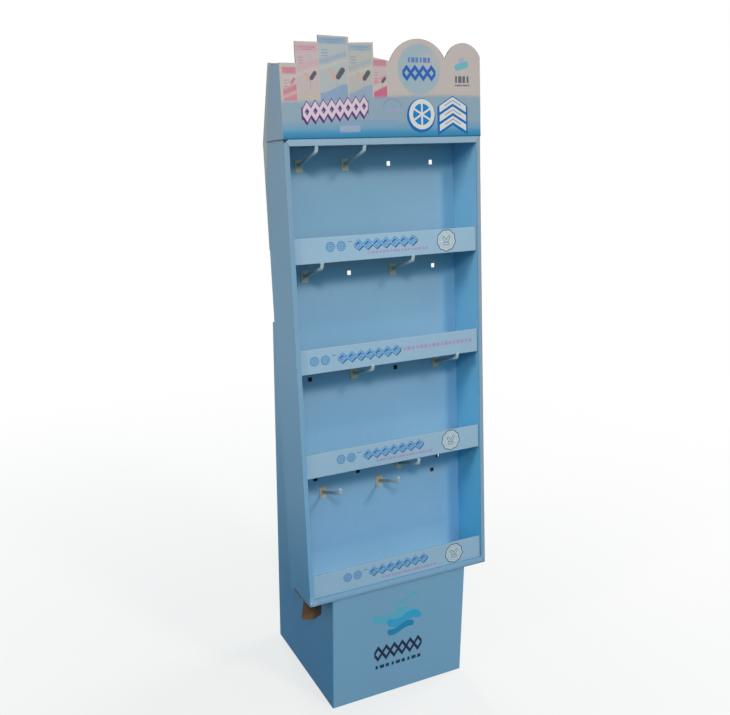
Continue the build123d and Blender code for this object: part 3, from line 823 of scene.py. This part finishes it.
def kraft_board():
    """Unprinted brown board of the hidden sheets, with a trace of the fluting."""
    surface = Surface("kraft_liner", kraft_brown)
    surface.colour = kraft_colour(surface)
    ribs = flute_ribs(surface)
    surface.tone(ribs * 0.03 + 0.97)
    fibres = surface.noise(1.0 * mm, detail=4)
    return surface.finish(0.88, ribs * (0.03 * mm) + fibres * (0.06 * mm), specular=0.15)


def hook_plastic():
    """Natural moulded plastic: tan plate and milky arm, with painted shade darkening the arm towards its
    root, so it is brighter towards the tip.
    """
    surface = Surface("hook_moulding", hook_white)
    # painted shade: the arm darker towards its root, inside the bay
    surface.paint(hook_root_shade, surface.back.above(peg_depth - 56 * mm, 100 * mm) * 0.8)
    surface.paint(hook_tan, surface.back.above(peg_depth - 5.5 * mm, 3 * mm))
    streaks = surface.noise(7 * mm, detail=3)
    surface.tone(streaks * 0.14 + 0.92)
    grain = surface.noise(0.6 * mm, detail=2)
    surface.shader.inputs["Subsurface Weight"].default_value = 0.25
    surface.shader.inputs["Subsurface Radius"].default_value = (3 * mm, 2.5 * mm, 2 * mm)
    surface.shader.inputs["Subsurface Scale"].default_value = 1.0
    return surface.finish(streaks * 0.1 + 0.34, grain * (0.02 * mm), specular=0.3)


dress(printed_tray(), "tray_shell")
dress(printed_panel(), "peg_panel")
dress(printed_base(), "base_body")
dress(printed_header(), "header_card")
dress(grey_board(), "header_back")
dress(kraft_board(), "base_seat", "base_floor", "brace_long", "brace_cross")
dress(hook_plastic(), "hook_locks", *(f"hook_{number}" for number in range(1, 10)))
for number, (shapes, dashes, badge) in enumerate(rail_prints, 1):
    dress(printed_shelf(number, shapes, dashes, badge), f"shelf_{number}")


# The studio: soft lamps, a pale floor and white surroundings

# Colours of the light, linear
warm_light = (1.0, 0.855, 0.735)
plain_light = (1.0, 0.93, 0.86)
sky_light = (0.44, 0.83, 1.0, 1)
floor_seen = (0.66, 0.63, 0.60, 1)
floor_bounce = (0.12, 0.16, 0.18, 1)

# Each soft lamp: place and width in metres, power in watts and colour
soft_lamps = {
    "ceiling_right": ((1.7, -4.6, 4.8), 0.8, 132, warm_light),
    "ceiling_left": ((-2.0, -4.6, 4.2), 0.8, 112, warm_light),
    "side_right": ((3.9, 0.7, 2.9), 1.6, 95, plain_light),
    "rear": ((0.3, 4.9, 3.4), 1.6, 150, plain_light),
}
stand_middle = (0, 0, 0.85)


def aim(name, light, place, target):
    """Hangs a light at a place so that it looks at a point."""
    lamp = bpy.data.objects.new(name, light)
    lamp.location = place
    lamp.rotation_euler = (Vector(target) - Vector(place)).to_track_quat("-Z", "Y").to_euler()
    bpy.context.scene.collection.objects.link(lamp)


def area_lamp(name, place, size, power, colour):
    """A square soft light, turned to the middle of the stand."""
    light = bpy.data.lights.new(name, "AREA")
    light.size = size
    light.energy = power
    light.color = colour
    aim(name, light, place, stand_middle)


def spot_lamp(name, place, target, spread, power, colour):
    """A soft-edged beam, its spread in degrees."""
    light = bpy.data.lights.new(name, "SPOT")
    light.spot_size = math.radians(spread)
    light.spot_blend = 0.4
    light.shadow_soft_size = 0.35
    light.energy = power
    light.color = colour
    aim(name, light, place, target)


def camera_mask(tree):
    """1 for what the camera sees, directly, mirrored or through glass, and 0 for light that bounces."""
    path = tree.nodes.new("ShaderNodeLightPath")
    seen = Number(tree, path.outputs["Is Camera Ray"])
    seen = seen.most(Number(tree, path.outputs["Is Glossy Ray"]))
    return seen.most(Number(tree, path.outputs["Is Transmission Ray"]))


def blend_shaders(tree, factor, first, second, output):
    """Mixes two shaders into an output."""
    blend = tree.nodes.new("ShaderNodeMixShader")
    feed(tree, factor, blend.inputs[0])
    feed(tree, first.outputs[0], blend.inputs[1])
    feed(tree, second.outputs[0], blend.inputs[2])
    feed(tree, blend.outputs[0], tree.nodes[output].inputs["Surface"])


def pale_floor():
    """A wide floor that fades to white away from the stand. The light that it bounces is dimmer."""
    bpy.ops.mesh.primitive_circle_add(vertices=64, radius=14, fill_type="NGON")
    floor = bpy.context.object
    floor.name = "floor"
    material = bpy.data.materials.new("floor_pale")
    material.use_nodes = True
    tree = material.node_tree
    seen = camera_mask(tree)
    diffuse = tree.nodes["Principled BSDF"]
    tint = tree.nodes.new("ShaderNodeMix")
    tint.data_type = "RGBA"
    feed(tree, seen, tint.inputs[mix_factor])
    feed(tree, floor_bounce, tint.inputs[mix_first])
    feed(tree, floor_seen, tint.inputs[mix_second])
    feed(tree, tint.outputs[mix_result], diffuse.inputs["Base Color"])
    diffuse.inputs["Roughness"].default_value = 0.9
    diffuse.inputs["Specular IOR Level"].default_value = 0.0

    reach = tree.nodes.new("ShaderNodeVectorMath")
    reach.operation = "LENGTH"
    feed(tree, tree.nodes.new("ShaderNodeTexCoord").outputs["Object"], reach.inputs[0])
    far = Number(tree, reach.outputs["Value"]).above(1.6, 2.0)
    near_glow = 0.68
    glow = tree.nodes.new("ShaderNodeEmission")
    glow_share = seen * (far * (1 - near_glow) + near_glow)
    blend_shaders(tree, glow_share, diffuse, glow, "Material Output")
    floor.data.materials.append(material)


def white_surroundings():
    """White to the camera. They light the stand a cool blue, more from the front than from behind."""
    world = bpy.data.worlds.new("surroundings")
    bpy.context.scene.world = world
    world.use_nodes = True
    tree = world.node_tree
    light = tree.nodes["Background"]
    light.inputs["Color"].default_value = sky_light
    split = tree.nodes.new("ShaderNodeSeparateXYZ")
    feed(tree, tree.nodes.new("ShaderNodeTexCoord").outputs["Generated"], split.inputs[0])
    front = Number(tree, split.outputs[1]) * -0.5 + 0.5
    rear_strength, front_gain = 0.24, 0.70
    feed(tree, front * front_gain + rear_strength, light.inputs["Strength"])
    white = tree.nodes.new("ShaderNodeBackground")
    white.inputs["Color"].default_value = (1, 1, 1, 1)
    blend_shaders(tree, camera_mask(tree), light, white, "World Output")


def photo_camera():
    """The photograph's camera: solved from the stand's own corners in the picture."""
    photo_width, photo_height = 730, 715
    focal_pixels = 889.36
    principal = (363.99, 372.57)
    place = Vector((-977.5, -1899.8, 1493.8)) * mm
    turn, pitch, roll = (math.radians(angle) for angle in (26.79, -17.60, 0.44))
    forward = Vector((math.sin(turn) * math.cos(pitch), math.cos(turn) * math.cos(pitch), math.sin(pitch)))
    level = Vector((math.cos(turn), -math.sin(turn), 0))
    upright = level.cross(forward)
    right = level * math.cos(roll) + upright * math.sin(roll)
    up = upright * math.cos(roll) - level * math.sin(roll)
    data = bpy.data.cameras.new("photo_camera")
    data.sensor_fit = "HORIZONTAL"
    data.sensor_width = 36
    data.lens = focal_pixels * data.sensor_width / photo_width
    data.shift_x = (photo_width / 2 - principal[0]) / photo_width
    data.shift_y = (principal[1] - photo_height / 2) / photo_width
    data.clip_start = 0.05
    data.clip_end = 60
    camera = bpy.data.objects.new("photo_camera", data)
    camera.matrix_world = Matrix.Translation(place) @ Matrix((right, up, -forward)).transposed().to_4x4()
    bpy.context.scene.collection.objects.link(camera)
    bpy.context.scene.camera = camera


photo_camera()
for name, (place, size, power, colour) in soft_lamps.items():
    area_lamp(name, place, size, power, colour)
spot_lamp("side_left", (-3.1, -0.85, 2.4), target=(-0.2, 0, 1.33), spread=28, power=196, colour=warm_light)
pale_floor()
white_surroundings()
bpy.context.scene.view_settings.view_transform = "Standard"
